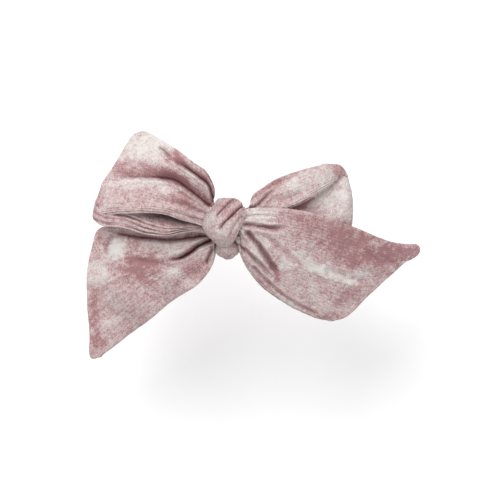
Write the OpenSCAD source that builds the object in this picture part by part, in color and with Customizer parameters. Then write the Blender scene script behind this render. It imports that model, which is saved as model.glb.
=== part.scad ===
// Velvet bow barrette: a sash of crushed velvet tied in a bow, sewn to a three-bar
// spring clip. It lies face up: X runs along the clip, +Y to the top of the bow and
// +Z out of its face. The origin is the middle of the lock arm's flat back.

/* [Bow] */
// Width of the whole bow, from tail tip to tail edge
bow_w = 121; // [118:0.5:124]
// Height of the whole bow, from loop top to tail tip
bow_h = 83; // [81:0.5:85]
// Thickness of the sewn and turned sash
sash_t = 1.8; // [1.4:0.1:1.9]
// Radius of the sash where the thread gathers it
waist_r = 5.2; // [4.8:0.1:5.3]

/* [Clip] */
// Length of the top bar
bar_l = 60; // [59:0.5:62]
// Width of the top bar
bar_w = 8; // [7.8:0.1:8.2]
// Thickness of the stamped top bar
bar_t = 0.8; // [0.6:0.05:0.8]
// Rise of the arched middle of the top bar
bar_rise = 2.6; // [2.4:0.1:2.7]
// Width of the lock arm
arm_w = 5.4; // [4.8:0.1:5.6]
// Thickness of the lock arm
arm_t = 0.7; // [0.6:0.05:0.75]
// Thickness of the spring steel tension bar
spring_t = 0.4; // [0.3:0.05:0.45]
// Width of the spring steel tension bar
spring_w = 4.6; // [4:0.1:5]

/* [Hidden] */
$fn = 48;

velvet = "rosybrown";
steel = "silver";
play = 0.05;                // radial clearance of a running fit
snug = 0.02;                // radial clearance of a fixed rivet or pin

// Heights of the clip
bar_z = 8.2;                // underside of the top bar's flat ends
arch_x = 21;                // half the length of the arched middle
arch_r = (arch_x * arch_x + bar_rise * bar_rise) / (2 * bar_rise);
arch_z = bar_z + bar_rise - arch_r;
felt_t = 0.8;

// Hinge end
pin_r = 0.75;
curl_r = 1.55;              // curled end of the arm round the pin
pin_x = bar_l / 2 - 3;
pin_z = curl_r;
spring_pin_r = 0.6;
eye_r = spring_pin_r + play + spring_t;
spring_pin_x = pin_x - 2.8;
spring_pin_z = 6.6;
ear_y = bar_w / 2 - bar_t;

// Tension bar: a shallow arc, lowest at spring_low_x
spring_low_x = -12;
spring_low_z = 5.8;
spring_end_x = -19;
spring_run = spring_pin_x - spring_low_x;
spring_rise = spring_pin_z + eye_r - spring_t - spring_low_z;
spring_r = (spring_run * spring_run + spring_rise * spring_rise) / (2 * spring_rise);

// Clasp end
clasp_x = -bar_l / 2 + 3.5;
clasp_l = 5;
clasp_t = 0.6;
prong_t = 0.5;
bead_r = 0.27;
root_y = 3.35;
root_z = bar_z - clasp_t / 2;
slot_y = 2.35;
frame_z = 1;
frame_l = 10;
frame_w = 8.8;
rivet_r = 0.8;
rivet_xs = [clasp_x - clasp_l / 4, clasp_x + clasp_l / 4];

// Sash: the heights at which its layers leave the gathered waist
waist_z = 18.1;
waist_l = 5.2;
throat_x = 3.4;
strand_t = 2.3;             // one gathered layer of a loop
strands_t = 4.4;            // the whole gathered end of a tail
upper_z = waist_z + 2.65;
lower_z = waist_z - 2.65;
layer_z = 1.3;

function place(p) = [p.x * bow_w / 121, p.y * bow_h / 83, p.z];

// Edges of the four draped parts, from the waist outwards, in millimetres. A loop's
// edges run out along its front, round its fold and back in along its rear.
left_loop_top = [
  [-throat_x, 4.6, upper_z + layer_z], [-8.2, 6.2, 22.8], [-7.8, 13.5, 22.2], [-10.5, 21.5, 21],
  [-18, 28, 19.5], [-27, 33.2, 15.5], [-29.6, 34, 12.5], [-27, 32.4, 9.8],
  [-17, 26.5, 11.6], [-10.5, 20, 13.8], [-8.2, 13, 16], [-8, 6, 17.8],
  [-throat_x, 4.6, upper_z - layer_z]
];
left_loop_mouth = [
  [-throat_x, -4, upper_z + layer_z], [-8.2, -1.4, 23.2], [-12, 1.2, 23.9], [-18, 3.6, 24.4],
  [-29, 5.6, 23], [-43, 5.4, 17], [-45.6, 4.4, 13.8], [-43.2, 2.4, 11.6],
  [-29, -2.2, 13.5], [-20, -2.8, 14.6], [-14, -2.6, 16.1], [-8.3, -1.9, 17.7],
  [-throat_x, -4, upper_z - layer_z]
];
right_loop_top = [
  [throat_x, 4.6, lower_z + layer_z], [7.6, 6.4, 17.1], [10.5, 12, 17.9], [16.5, 17, 18.3],
  [28, 21.4, 17.8], [39, 23.2, 15], [41.6, 21.6, 12.4], [39.6, 21.4, 9.8],
  [28, 19.4, 10.6], [17, 15, 12.6], [11.5, 10.5, 13.8], [8, 5.8, 14.2],
  [throat_x, 4.6, lower_z - layer_z]
];
right_loop_mouth = [
  [throat_x, -4, lower_z + layer_z], [7.8, -2, 17.2], [12, 1.6, 17.6], [18, 5, 17.8],
  [29, 9.8, 16.8], [41, 15.6, 14], [45.2, 5, 10.9], [43.6, -1.6, 9],
  [31, -4.6, 10.9], [19, -5, 12.9], [12.5, -5, 13.8], [8, -4.8, 14.1],
  [throat_x, -4, lower_z - layer_z]
];
left_tail_top = [
  [-throat_x, 4.2, lower_z], [-7.5, 2.6, 14], [-14, 1.6, 12.3], [-22, 1, 11],
  [-32, 0.8, 10.4], [-46.6, -0.9, 6.2]
];
left_tail_bottom = [
  [-throat_x, -4, lower_z], [-6.3, -9.2, 13.6], [-9.6, -18, 10.6],
  [-18.5, -26.6, 7], [-31, -36, 3.6], [-48.2, -46.6, 1.1]
];
right_tail_top = [
  [throat_x + 0.2, 4.2, upper_z], [8.6, 6, 21.2], [20, 6.8, 20.2], [36, 4.2, 16.6],
  [52, -1.8, 9.6], [68.6, -7, 1.4]
];
right_tail_bottom = [
  [throat_x + 0.2, -4, upper_z], [7, -8.4, 18.6], [12.4, -18.6, 12.6],
  [21.4, -26.4, 7.6], [32, -31.4, 3.6], [42.5, -31.8, 1.1]
];

// Point at share s of the smooth curve through points p
function along(p, s) =
  let (
    i = min(floor(s * (len(p) - 1)), len(p) - 2), f = s * (len(p) - 1) - i,
    a = p[max(i - 1, 0)], b = p[i], c = p[i + 1], d = p[min(i + 2, len(p) - 1)]
  )
  (2 * b + (c - a) * f + (2 * a - 5 * b + 4 * c - d) * f * f
    + (3 * b - a - 3 * c + d) * f * f * f) / 2;

// Thickness at share s of a strand that thins from its gathered end over the share run
function thinned(thick, s, run) = sash_t + (thick - sash_t) * pow(max(0, 1 - s / run), 2);

// Points [along][across] between two edges. The middle of the sheet is lifted by crown
// and its far end is bowed outwards by bulge.
function sheet(edge_a, edge_b, steps, across, crown, bulge) = [
  for (i = [0:steps]) [
    for (j = [0:across])
      let (s = i / steps, t = j / across, a = along(edge_a, s), b = along(edge_b, s))
      place(a + (b - a) * t
        + [bulge * pow(s, 3) * sin(180 * t), 0, crown * sin(180 * s) * sin(180 * t)])
  ]
];

function normal(g, i, j) =
  let (
    n = len(g) - 1, m = len(g[0]) - 1,
    v = cross(g[min(i + 1, n)][j] - g[max(i - 1, 0)][j],
      g[i][min(j + 1, m)] - g[i][max(j - 1, 0)])
  )
  v / norm(v);

// Closed solid of a sheet of points with half its thickness at each step along it
module thick_sheet(g, half) {
  n = len(g) - 1;
  m = len(g[0]) - 1;
  layer = (n + 1) * (m + 1);
  function at(i, j) = i * (m + 1) + j;
  rim = concat(
    [for (i = [0:n - 1]) at(i, 0)], [for (j = [0:m - 1]) at(n, j)],
    [for (i = [n:-1:1]) at(i, m)], [for (j = [m:-1:1]) at(0, j)]
  );
  polyhedron(
    points = [
      for (side = [1, -1]) for (i = [0:n]) for (j = [0:m])
        g[i][j] + side * half[i] * normal(g, i, j)
    ],
    faces = concat(
      [for (i = [0:n - 1]) for (j = [0:m - 1]) [at(i, j), at(i, j + 1), at(i + 1, j + 1)]],
      [for (i = [0:n - 1]) for (j = [0:m - 1]) [at(i, j), at(i + 1, j + 1), at(i + 1, j)]],
      [for (i = [0:n - 1]) for (j = [0:m - 1])
        [at(i, j), at(i + 1, j + 1), at(i, j + 1)] + layer * [1, 1, 1]],
      [for (i = [0:n - 1]) for (j = [0:m - 1])
        [at(i, j), at(i + 1, j), at(i + 1, j + 1)] + layer * [1, 1, 1]],
      [for (k = [0:len(rim) - 1]) let (a = rim[k], b = rim[(k + 1) % len(rim)])
        [a, b, b + layer]],
      [for (k = [0:len(rim) - 1]) let (a = rim[k], b = rim[(k + 1) % len(rim)])
        [a, b + layer, a + layer]]
    )
  );
}

module loop(top, mouth, crown) {
  steps = 48;
  // The crown lifts the front half of the band and drops the rear half.
  g = [
    for (i = [0:steps]) [
      for (j = [0:8])
        let (s = i / steps, t = j / 8, a = along(top, s), b = along(mouth, s))
        place(a + (b - a) * t + [0, 0, crown * sin(360 * s) * sin(180 * t)])
    ]
  ];
  thick_sheet(g, [for (i = [0:steps])
    thinned(strand_t, min(i, steps - i) / steps, 0.12) / 2]);
}

module tail(top, bottom, crown, bulge) {
  steps = 24;
  g = sheet(top, bottom, steps, 10, crown, bulge);
  thick_sheet(g, [for (i = [0:steps]) thinned(strands_t, i / steps, 0.3) / 2]);
}

module left_loop() { color(velvet) loop(left_loop_top, left_loop_mouth, 1); }

module right_loop() { color(velvet) loop(right_loop_top, right_loop_mouth, 0.9); }

module left_tail() { color(velvet) tail(left_tail_top, left_tail_bottom, 1.2, -3); }

module right_tail() { color(velvet) tail(right_tail_top, right_tail_bottom, 1.5, 0); }

// Knot: a band round the waist and the top bar, broad over the face and narrow behind.
// The angle a runs round the waist from the face (0) towards the top of the bow.
knot_in = [6.2, 7.2];        // half width and half height of the space that it holds
knot_out = [10.9, 9.1];
knot_z = 17.3;
function oval(size, power, a) =
  1 / pow(pow(abs(sin(a)) / size.x, power) + pow(abs(cos(a)) / size.y, power), 1 / power);
function knot_half(a) = 3.2 + 4.9 * pow(max(0, cos(a)), 1.2) + 1 * max(0, -cos(a));
// Corners of the band's section: share of the half width, share of the thickness
knot_section = [
  [-0.7, 0], [0.7, 0], [1, 0.35], [0.85, 0.75], [0.45, 1], [-0.45, 1], [-0.85, 0.75],
  [-1, 0.35]
];

module knot() {
  turns = 48;
  sides = len(knot_section);
  function corner(i, k) =
    let (
      a = 360 * i / turns, c = knot_section[k], low = cos(a) < 0,
      inner = oval(knot_in, 4, a),
      outer = oval([knot_out.x, low ? knot_in.y + 1.2 : knot_out.y], low ? 2.6 : 2.2, a),
      r = inner + (outer - inner) * c[1]
    )
    [c[0] * knot_half(a), r * sin(a), knot_z + r * cos(a)];
  color(velvet)
    polyhedron(
      points = [for (i = [0:turns - 1]) for (k = [0:sides - 1]) corner(i, k)],
      faces = [
        for (i = [0:turns - 1]) for (k = [0:sides - 1])
          let (
            a = i * sides + k, b = i * sides + (k + 1) % sides,
            c = ((i + 1) % turns) * sides + (k + 1) % sides,
            d = ((i + 1) % turns) * sides + k
          )
          for (f = [[a, b, c], [a, c, d]]) f
      ]
    );
}

// Cylinder along X, and along Y
module rod_x(r, l) { rotate([0, 90, 0]) cylinder(r = r, h = l, center = true); }
module rod_y(r, l) { rotate([90, 0, 0]) cylinder(r = r, h = l, center = true); }

module gathered_waist() {
  color(velvet) translate([0, 0, waist_z]) rod_x(waist_r, waist_l);
}

module gather_thread() {
  thread_r = 0.2;
  color("pink")
    for (k = [-3:3])
      translate([k * 2.1 * thread_r, 0, waist_z])
        rotate([0, 90, 0])
          rotate_extrude() translate([waist_r + thread_r + snug, 0]) circle(thread_r);
}

// Strip of an arch with the top bar's centre of curvature, between two places along X
module arch(low, thick, wide, x0, x1) {
  intersection() {
    translate([0, 0, arch_z]) difference() {
      rod_y(arch_r + low + thick, wide, $fn = 360);
      rod_y(arch_r + low, wide + 1, $fn = 360);
    }
    translate([x0, -wide, 0]) cube([x1 - x0, 2 * wide, 40]);
  }
}

module felt_pad() {
  color("mistyrose") arch(bar_t + snug, felt_t, bar_w - 0.6, -11, 11);
}

stitch_x = 14;
stitch_r = 0.2;
hole_r = 0.9;

// Strip from X = 0 to X = -l with a round end
module round_end(l, w) {
  translate([w / 2 - l, -w / 2]) square([l - w / 2, w]);
  translate([w / 2 - l, 0]) circle(w / 2);
}

module top_bar() {
  color(steel) difference() {
    union() {
      arch(0, bar_t, bar_w, -arch_x, arch_x);
      translate([arch_x, -bar_w / 2, bar_z]) cube([bar_l / 2 - arch_x, bar_w, bar_t]);
      translate([-arch_x, 0, bar_z]) linear_extrude(bar_t) round_end(bar_l / 2 - arch_x, bar_w);
      for (side = [-1, 1]) ear(side);
    }
    translate([pin_x, 0, pin_z]) rod_y(pin_r + snug, 2 * bar_w);
    translate([spring_pin_x, 0, spring_pin_z]) rod_y(spring_pin_r + snug, 2 * bar_w);
    for (x = [-stitch_x, stitch_x]) translate([x, 0, 5]) cylinder(r = hole_r, h = 10);
    for (x = rivet_xs) translate([x, 0, 5]) cylinder(r = rivet_r + snug, h = 10);
  }
}

// Flat profile in [X, Z], or in [Y, Z], with its thickness along the third axis
module across_y(thick) {
  translate([0, thick / 2, 0]) rotate([90, 0, 0]) linear_extrude(thick) children();
}
module across_x(thick) {
  translate([-thick / 2, 0, 0]) rotate([90, 0, 90]) linear_extrude(thick) children();
}

// Flange folded down from the bar's edge, with a lug round each pin
module ear(side) {
  translate([0, side * (ear_y + bar_t / 2), 0]) across_y(bar_t) {
    polygon([
      [spring_pin_x - 1.5, bar_z], [bar_l / 2, bar_z], [bar_l / 2, bar_z - 1],
      [pin_x + curl_r, pin_z], [pin_x - curl_r, pin_z], [spring_pin_x - 1.5, spring_pin_z]
    ]);
    translate([pin_x, pin_z]) circle(curl_r);
    translate([spring_pin_x, spring_pin_z]) circle(1.5);
  }
}

// Pin through both ears with a head at each end
module headed_pin(r, head_r, head_t) {
  rod_y(r, bar_w + head_t);
  for (side = [-1, 1])
    translate([0, side * (bar_w / 2 + head_t / 2 + snug), 0]) rod_y(head_r, head_t);
}

module hinge_pin() {
  color(steel) translate([pin_x, 0, pin_z]) headed_pin(pin_r, 1.2, 0.5);
}

module tension_pin() {
  color(steel) translate([spring_pin_x, 0, spring_pin_z]) headed_pin(spring_pin_r, 1, 0.4);
}

module tension_bar() {
  color(steel) difference() {
    union() {
      intersection() {
        translate([spring_low_x, 0, spring_low_z + spring_r]) difference() {
          rod_y(spring_r, spring_w, $fn = 720);
          rod_y(spring_r - spring_t, spring_w + 1, $fn = 720);
        }
        translate([spring_pin_x, 0, 0]) linear_extrude(bar_z)
          round_end(spring_pin_x - spring_end_x, spring_w);
      }
      translate([spring_pin_x, 0, spring_pin_z]) rod_y(eye_r, spring_w);
    }
    translate([spring_pin_x, 0, spring_pin_z]) rod_y(spring_pin_r + play, spring_w + 1);
  }
}

module lock_arm() {
  step_x = clasp_x + frame_l / 2;
  color(steel) difference() {
    union() {
      // The arm steps up to its end frame, so that the latch stays above its back
      across_y(arm_w) {
        polygon([
          [pin_x, 0], [pin_x, arm_t], [step_x + 2, arm_t], [step_x, frame_z + arm_t],
          [step_x, frame_z], [step_x + 1.6, 0]
        ]);
        translate([pin_x, pin_z]) circle(curl_r);
      }
      translate([clasp_x - frame_l / 2, -frame_w / 2, frame_z])
        cube([frame_l, frame_w, arm_t]);
      // Stiffening rib
      intersection() {
        translate([4, 0, 0.3]) union() {
          rod_x(0.8, 36);
          for (side = [-1, 1])
            translate([side * 18, 0, 0]) rotate([0, side * 90, 0]) cylinder(r1 = 0.8, r2 = 0.2, h = 3);
        }
        translate([-30, -2, arm_t / 2]) cube([60, 4, 4]);
      }
    }
    translate([pin_x, 0, pin_z]) rod_y(pin_r + play, arm_w + 1);
    translate([clasp_x - clasp_l / 2 - 0.4, -slot_y, 0])
      cube([clasp_l + 0.8, 2 * slot_y, 5]);
  }
}

module clasp_plate() {
  color(steel) difference() {
    translate([clasp_x - clasp_l / 2, -root_y + 0.1, bar_z - clasp_t])
      cube([clasp_l, 2 * root_y - 0.2, clasp_t]);
    for (side = [-1, 1])
      translate([clasp_x, side * root_y, root_z]) rod_x(bead_r + 0.08, clasp_l + 1);
    for (x = rivet_xs) translate([x, 0, 5]) cylinder(r = rivet_r + snug, h = 10);
  }
}

module clasp_rivets() {
  head_r = 1.15;
  head_t = 0.3;
  color(steel)
    for (x = rivet_xs) translate([x, 0, 0]) {
      translate([0, 0, bar_z - clasp_t - 0.1]) cylinder(r = rivet_r, h = clasp_t + bar_t + 0.2);
      translate([0, 0, bar_z + bar_t + snug]) cylinder(r = head_r, h = head_t);
      translate([0, 0, bar_z - clasp_t - head_t - snug]) cylinder(r = head_r, h = head_t);
    }
}

// Centre line of a spring prong from its root, out round the finger ear, in to the
// neck and down through the slot, as [Y, Z]
prong_line = [
  [root_y, root_z], [5.2, 7.2], [6.1, 6.1], [5.9, 4.9], [4.6, 4], [2.4, 3.5],
  [1.85, 2.9], [1.85, 0.5]
];

module prong(side) {
  color(steel) mirror([0, side > 0 ? 0 : 1, 0]) translate([clasp_x, 0, 0])
    across_x(clasp_l) {
      for (k = [0:len(prong_line) - 2])
        let (a = prong_line[k], b = prong_line[k + 1], d = b - a) {
          translate((a + b) / 2) rotate(atan2(d.y, d.x)) square([norm(d), prong_t], center = true);
          translate(b) circle(prong_t / 2);
        }
      translate([root_y, root_z]) circle(bead_r);
      // Barb that holds the arm's frame
      polygon([[1.7, 0.1], [2, 0.1], [2.85, frame_z - 0.1], [1.7, frame_z - 0.1]]);
    }
}

module front_prong() { prong(-1); }

module rear_prong() { prong(1); }

// Thread loops that hold the bow to the bar, each through a hole and round an edge
module bar_stitches() {
  r = stitch_r;
  low = arch_z + sqrt(arch_r * arch_r - stitch_x * stitch_x) - r - 0.1;
  high = arch_z + sqrt(pow(arch_r + bar_t, 2) - stitch_x * stitch_x) + r + 0.1;
  near = 0.3;
  far = bar_w / 2 + r + 0.1;
  color("pink")
    for (x = [-stitch_x, stitch_x], side = [-1, 1]) {
      for (z = [low, high])
        translate([x, side * (near + far) / 2, z]) rod_y(r, far - near);
      for (y = [near, far]) {
        translate([x, side * y, low]) cylinder(r = r, h = high - low);
        for (z = [low, high]) translate([x, side * y, z]) sphere(r);
      }
    }
}

left_loop();
right_loop();
left_tail();
right_tail();
knot();
gathered_waist();
gather_thread();
felt_pad();
bar_stitches();
top_bar();
hinge_pin();
tension_pin();
tension_bar();
lock_arm();
clasp_plate();
clasp_rivets();
front_prong();
rear_prong();
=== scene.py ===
"""Looks of the velvet bow barrette. Lengths in the tables below are millimetres in the
part's own frame: +X along the clip, +Y to the top of the bow, +Z out of its face."""

import math

import bpy
import numpy as np
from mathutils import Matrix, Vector, noise


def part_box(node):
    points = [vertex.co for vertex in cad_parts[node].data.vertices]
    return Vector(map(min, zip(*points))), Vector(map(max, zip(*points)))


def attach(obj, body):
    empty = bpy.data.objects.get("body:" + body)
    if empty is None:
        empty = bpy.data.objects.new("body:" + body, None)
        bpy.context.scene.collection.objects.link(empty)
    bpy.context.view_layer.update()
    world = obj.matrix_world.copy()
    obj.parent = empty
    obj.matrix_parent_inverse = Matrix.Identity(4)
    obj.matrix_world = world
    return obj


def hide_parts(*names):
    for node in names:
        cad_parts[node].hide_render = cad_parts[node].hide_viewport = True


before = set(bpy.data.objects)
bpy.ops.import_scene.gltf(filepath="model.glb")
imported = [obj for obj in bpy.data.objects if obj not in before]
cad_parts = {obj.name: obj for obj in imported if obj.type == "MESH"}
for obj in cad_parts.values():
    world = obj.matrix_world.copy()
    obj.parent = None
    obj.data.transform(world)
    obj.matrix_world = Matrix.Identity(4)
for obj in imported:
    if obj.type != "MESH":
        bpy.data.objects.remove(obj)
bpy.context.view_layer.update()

MM = 0.001
BOW = "bow_and_bar"
SASH_T = 1.9  # thickness of the sewn and turned sash
NECK_SWELL = 1.0  # how much thicker it is where it is gathered at the knot
KNOT_Z = 17.3  # height of the middle of the knot

# Nap of the pile, from 0, deep rose, to 1, silvery
NAP_BASE = 0.42
# Painted highlight on crests and painted shade in valleys: the lie rises and sinks with the cloth
RELIEF_PAINTED_LIGHT = 0.22  # change for each mm that the cloth rises or sinks
RIB_PITCH = 0.95  # distance between the knit's ribs
HEM_PITCH = 0.8  # distance between the stitch lines pressed in beside a seam
NO_HEM = 9.0  # distance from a hem past which no line shows

# Points along and across each sheet
LOOP_GRID = (330, 150)
TAIL_GRID = (260, 180)

# Cloth simulation: its size against millimetres, its frames, and the most a point may move
SIM_SCALE = 0.02
SIM_FRAMES = 14
SIM_CAP = 0.9

# The stage, in metres
FLOOR_DROP = 0.056  # from the barrette's back down to the floor
FLOOR_HALF = 1.5
WORLD_LIGHT = 0.72


# ---------------------------------------------------------------- curves and grids


def smooth_curve(points, shares):
    """Points at the given shares, 0 to 1, of a smooth curve through the points."""
    p = np.asarray(points, float)
    last = len(p) - 1
    x = np.clip(np.asarray(shares, float), 0, 1) * last
    i = np.minimum(x.astype(int), last - 1)
    f = (x - i)[:, None]
    a, b = p[np.maximum(i - 1, 0)], p[i]
    c, d = p[i + 1], p[np.minimum(i + 2, last)]
    return (
        2 * b + (c - a) * f + (2 * a - 5 * b + 4 * c - d) * f**2 + (3 * b - a - 3 * c + d) * f**3
    ) / 2


def smoothstep(low, high, x):
    f = np.clip((x - low) / (high - low), 0, 1)
    return f * f * (3 - 2 * f)


def bell(x):
    return np.exp(-(x**2))


def shares_across(count):
    """Shares from 0 to 1, closer together near both edges so that they round well."""
    even = np.linspace(0, 1, count)
    return 0.45 * even + 0.55 * (1 - np.cos(math.pi * even)) / 2


def grid_between(edge_a, edge_b, along, across):
    """Points [along][across] of the ruled sheet between two edges, with their shares."""
    s, t = np.linspace(0, 1, along), shares_across(across)
    a, b = smooth_curve(edge_a, s), smooth_curve(edge_b, s)
    points = a[:, None] + (b - a)[:, None] * t[None, :, None]
    return points, *np.meshgrid(s, t, indexing="ij")


def normals(points):
    along = np.gradient(points, axis=0)
    across = np.gradient(points, axis=1)
    n = np.cross(along, across)
    return n / np.maximum(np.linalg.norm(n, axis=2, keepdims=True), 1e-9)


def noise_field(points, size, seed):
    """Smooth noise from -1 to 1 with features of that size in mm."""
    shift = Vector((seed * 17.3, seed * -9.1, seed * 5.7))
    flat = points.reshape(-1, 3) / size
    values = [noise.noise(Vector(p) + shift) for p in flat]
    return np.array(values).reshape(points.shape[:-1])


# ---------------------------------------------------------------- folds and patches


class Fold:
    """A valley along a line in X and Y, seen from its start. It is depth deep, with its own
    width and its own ridge to the left and to the right, and it fades towards its far end.
    Shade is painted along its valley."""

    def __init__(self, path, widths, depth, ridges=(0.3, 0.3), dark=0.5, fade=0.55):
        self.path = smooth_curve(np.array(path, float), np.linspace(0, 1, 8 * len(path)))
        self.widths, self.depth, self.ridges = widths, depth, ridges
        self.dark, self.fade = dark, fade

    def field(self, points):
        """(height, painted shade) that the fold adds at points."""
        xy = points[..., :2].reshape(-1, 2)
        reach = 4.2 * max(self.widths)
        near = (xy > self.path.min(0) - reach).all(1) & (xy < self.path.max(0) + reach).all(1)
        a, b = self.path[:-1], self.path[1:]
        d = b - a
        w = xy[near, None] - a[None]
        f = np.clip((w * d).sum(2) / (d * d).sum(1), 0, 1)
        away = w - f[..., None] * d
        dist = np.linalg.norm(away, axis=2)
        k = dist.argmin(1)
        rows = np.arange(len(dist))
        dist = dist[rows, k]
        left = d[k, 0] * away[rows, k, 1] - d[k, 1] * away[rows, k, 0] > 0
        share = (k + f[rows, k]) / len(a)
        strength = 1 - smoothstep(self.fade, 1.0, share)
        x = dist / np.where(left, *self.widths)
        ridge = np.where(left, *self.ridges)
        height, dark = np.zeros(len(xy)), np.zeros(len(xy))
        height[near] = -self.depth * np.exp(-(x**1.4)) + ridge * bell((x - 2.1) / 1.0)
        # Painted shade: a broad soft darkening over the valley, with a sharp dark core along its
        # line
        dark[near] = self.dark * (0.35 * bell(x / 1.4) + 0.65 * np.exp(-((dist / 0.4) ** 2)))
        height[near] *= strength
        dark[near] *= strength
        return height.reshape(points.shape[:-1]), dark.reshape(points.shape[:-1])


def patches_at(points, patches, base):
    """Lie of the pile, 0 deep rose to 1 silvery, from patches of (x, y, rx, ry, turn, value).
    Also gives the masks of painted grey shade.
    """
    x = points[..., 0] + 1.5 * noise_field(points, 4.4, 3) + 0.8 * noise_field(points, 1.8, 4)
    y = points[..., 1] + 1.5 * noise_field(points, 4.4, 5) + 0.8 * noise_field(points, 1.8, 6)
    ragged = 0.34 * noise_field(points, 2.6, 7) + 0.26 * noise_field(points, 1.1, 8)
    value = np.full(x.shape, base)
    for px, py, rx, ry, turn, change in patches:
        c, s = math.cos(math.radians(turn)), math.sin(math.radians(turn))
        dx, dy = x - px, y - py
        u, v = (c * dx + s * dy) / rx, (c * dy - s * dx) / ry
        value += change * (1 - smoothstep(0.4, 1.35, np.sqrt(u * u + v * v) + ragged))
    return value


# ---------------------------------------------------------------- meshes


def new_object(name, verts, faces, material, attributes=None):
    mesh = bpy.data.meshes.new(name)
    mesh.from_pydata((np.asarray(verts) * MM).tolist(), [], faces)
    for key, values in (attributes or {}).items():
        layer = mesh.attributes.new(key, "FLOAT", "POINT")
        layer.data.foreach_set("value", np.asarray(values, np.float32).ravel())
    mesh.shade_smooth()
    mesh.materials.append(material)
    obj = bpy.data.objects.new(name, mesh)
    bpy.context.scene.collection.objects.link(obj)
    return obj


def on_bow(obj):
    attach(obj, BOW)
    return obj


def capped_tube_faces(around, rings):
    """Faces of a tube of points [around][rings], closed onto the two points after them."""
    first, last = around * rings, around * rings + 1
    faces = []
    for i in range(around):
        k = (i + 1) % around
        faces.append((first, k * rings, i * rings))
        faces.append((last, i * rings + rings - 1, k * rings + rings - 1))
        for j in range(rings - 1):
            faces.append((i * rings + j, k * rings + j, k * rings + j + 1, i * rings + j + 1))
    return faces


def shell(name, points, detail, half, material, upper, lower):
    """Closed shell on both sides of a grid. detail moves both sides alike, half is half the
    thickness at each point, and upper and lower are the attributes of the two sides."""
    n, m = points.shape[:2]
    offset = normals(points) * half[..., None]
    moved = points + detail
    verts = np.concatenate([(moved + offset).reshape(-1, 3), (moved - offset).reshape(-1, 3)])
    size = n * m

    def at(i, j, side):
        return side * size + i * m + j

    faces = []
    for i in range(n - 1):
        for j in range(m - 1):
            faces.append((at(i, j, 0), at(i + 1, j, 0), at(i + 1, j + 1, 0), at(i, j + 1, 0)))
            faces.append((at(i, j, 1), at(i, j + 1, 1), at(i + 1, j + 1, 1), at(i + 1, j, 1)))
    rim = [(i, 0) for i in range(n - 1)] + [(n - 1, j) for j in range(m - 1)]
    rim += [(i, m - 1) for i in range(n - 1, 0, -1)] + [(0, j) for j in range(m - 1, 0, -1)]
    for (i, j), (k, l) in zip(rim, rim[1:] + rim[:1]):
        faces.append((at(i, j, 0), at(i, j, 1), at(k, l, 1), at(k, l, 0)))
    attributes = {
        key: np.concatenate([upper[key].ravel(), lower[key].ravel()]) for key in upper
    }
    return new_object(name, verts, faces, material, attributes)


def rounded_half(points, ends, thick=SASH_T):
    """Half thickness that rounds off towards both side edges, and towards the far end if
    ends is True."""
    across = np.linalg.norm(np.diff(points, axis=1), axis=2)
    run = np.concatenate([np.zeros((len(points), 1)), np.cumsum(across, axis=1)], axis=1)
    edge = np.minimum(run, run[:, -1:] - run)
    if ends:
        along = np.linalg.norm(np.diff(points, axis=0), axis=2)
        left = np.cumsum(along[::-1], axis=0)[::-1]
        left = np.concatenate([left, np.zeros((1, points.shape[1]))], axis=0)
        edge = np.minimum(edge, left)
    r = thick / 2
    x = np.clip(edge / (1.3 * r), 0, 1)
    return r * np.sqrt(np.clip(1 - (1 - x) ** 2, 0.0025, 1))


# ---------------------------------------------------------------- materials


class Nodes:
    """Short names for building one material's node tree."""

    def __init__(self, name):
        self.material = bpy.data.materials.new(name)
        self.material.use_nodes = True
        self.tree = self.material.node_tree
        self.tree.nodes.clear()
        self.output = self.tree.nodes.new("ShaderNodeOutputMaterial")
        self.shader = self.tree.nodes.new("ShaderNodeBsdfPrincipled")
        self.link(self.shader.outputs[0], self.output.inputs["Surface"])

    def link(self, a, b):
        self.tree.links.new(a, b)

    def add(self, kind, inputs=None, **settings):
        node = self.tree.nodes.new(kind)
        for key, value in settings.items():
            setattr(node, key, value)
        for key, value in (inputs or {}).items():
            if isinstance(value, bpy.types.NodeSocket):
                self.link(value, node.inputs[key])
            else:
                node.inputs[key].default_value = value
        return node

    def math(self, operation, a, b=0.0, c=0.0):
        node = self.add("ShaderNodeMath", {0: a, 1: b, 2: c}, operation=operation)
        return node.outputs[0]

    def noise(self, scale, detail=4.0, roughness=0.55, distortion=0.0, vector=None):
        place = vector or self.add("ShaderNodeTexCoord").outputs["Object"]
        node = self.add(
            "ShaderNodeTexNoise",
            {
                "Vector": place,
                "Scale": scale,
                "Detail": detail,
                "Roughness": roughness,
                "Distortion": distortion,
            },
        )
        return node.outputs["Fac"]

    def attribute(self, name):
        return self.add("ShaderNodeAttribute", attribute_name=name).outputs["Fac"]

    def ramp(self, value, stops):
        node = self.add("ShaderNodeValToRGB", {"Fac": value})
        elements = node.color_ramp.elements
        while len(elements) < len(stops):
            elements.new(0.5)
        for element, (place, colour) in zip(elements, stops):
            element.position = place
            element.color = (*colour, 1.0)
        return node.outputs["Color"]

    def mix(self, kind, factor, a, b):
        node = self.add("ShaderNodeMix", data_type="RGBA", blend_type=kind)
        for socket, value in zip((node.inputs[0], node.inputs[6], node.inputs[7]), (factor, a, b)):
            if isinstance(value, bpy.types.NodeSocket):
                self.link(value, socket)
            else:
                socket.default_value = value
        return node.outputs[2]

    def bump(self, height, distance, strength=1.0, normal=None):
        inputs = {"Height": height, "Distance": distance, "Strength": strength}
        if normal is not None:
            inputs["Normal"] = normal
        return self.add("ShaderNodeBump", inputs).outputs["Normal"]

    def set(self, **values):
        for key, value in values.items():
            socket = self.shader.inputs[key.replace("_", " ")]
            if isinstance(value, bpy.types.NodeSocket):
                self.link(value, socket)
            else:
                socket.default_value = value


def srgb(r, g, b):
    """Linear colour of an sRGB colour given from 0 to 255."""
    return tuple(
        c / 12.92 if c <= 0.04045 else ((c + 0.055) / 1.055) ** 2.4
        for c in (r / 255, g / 255, b / 255)
    )


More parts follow.
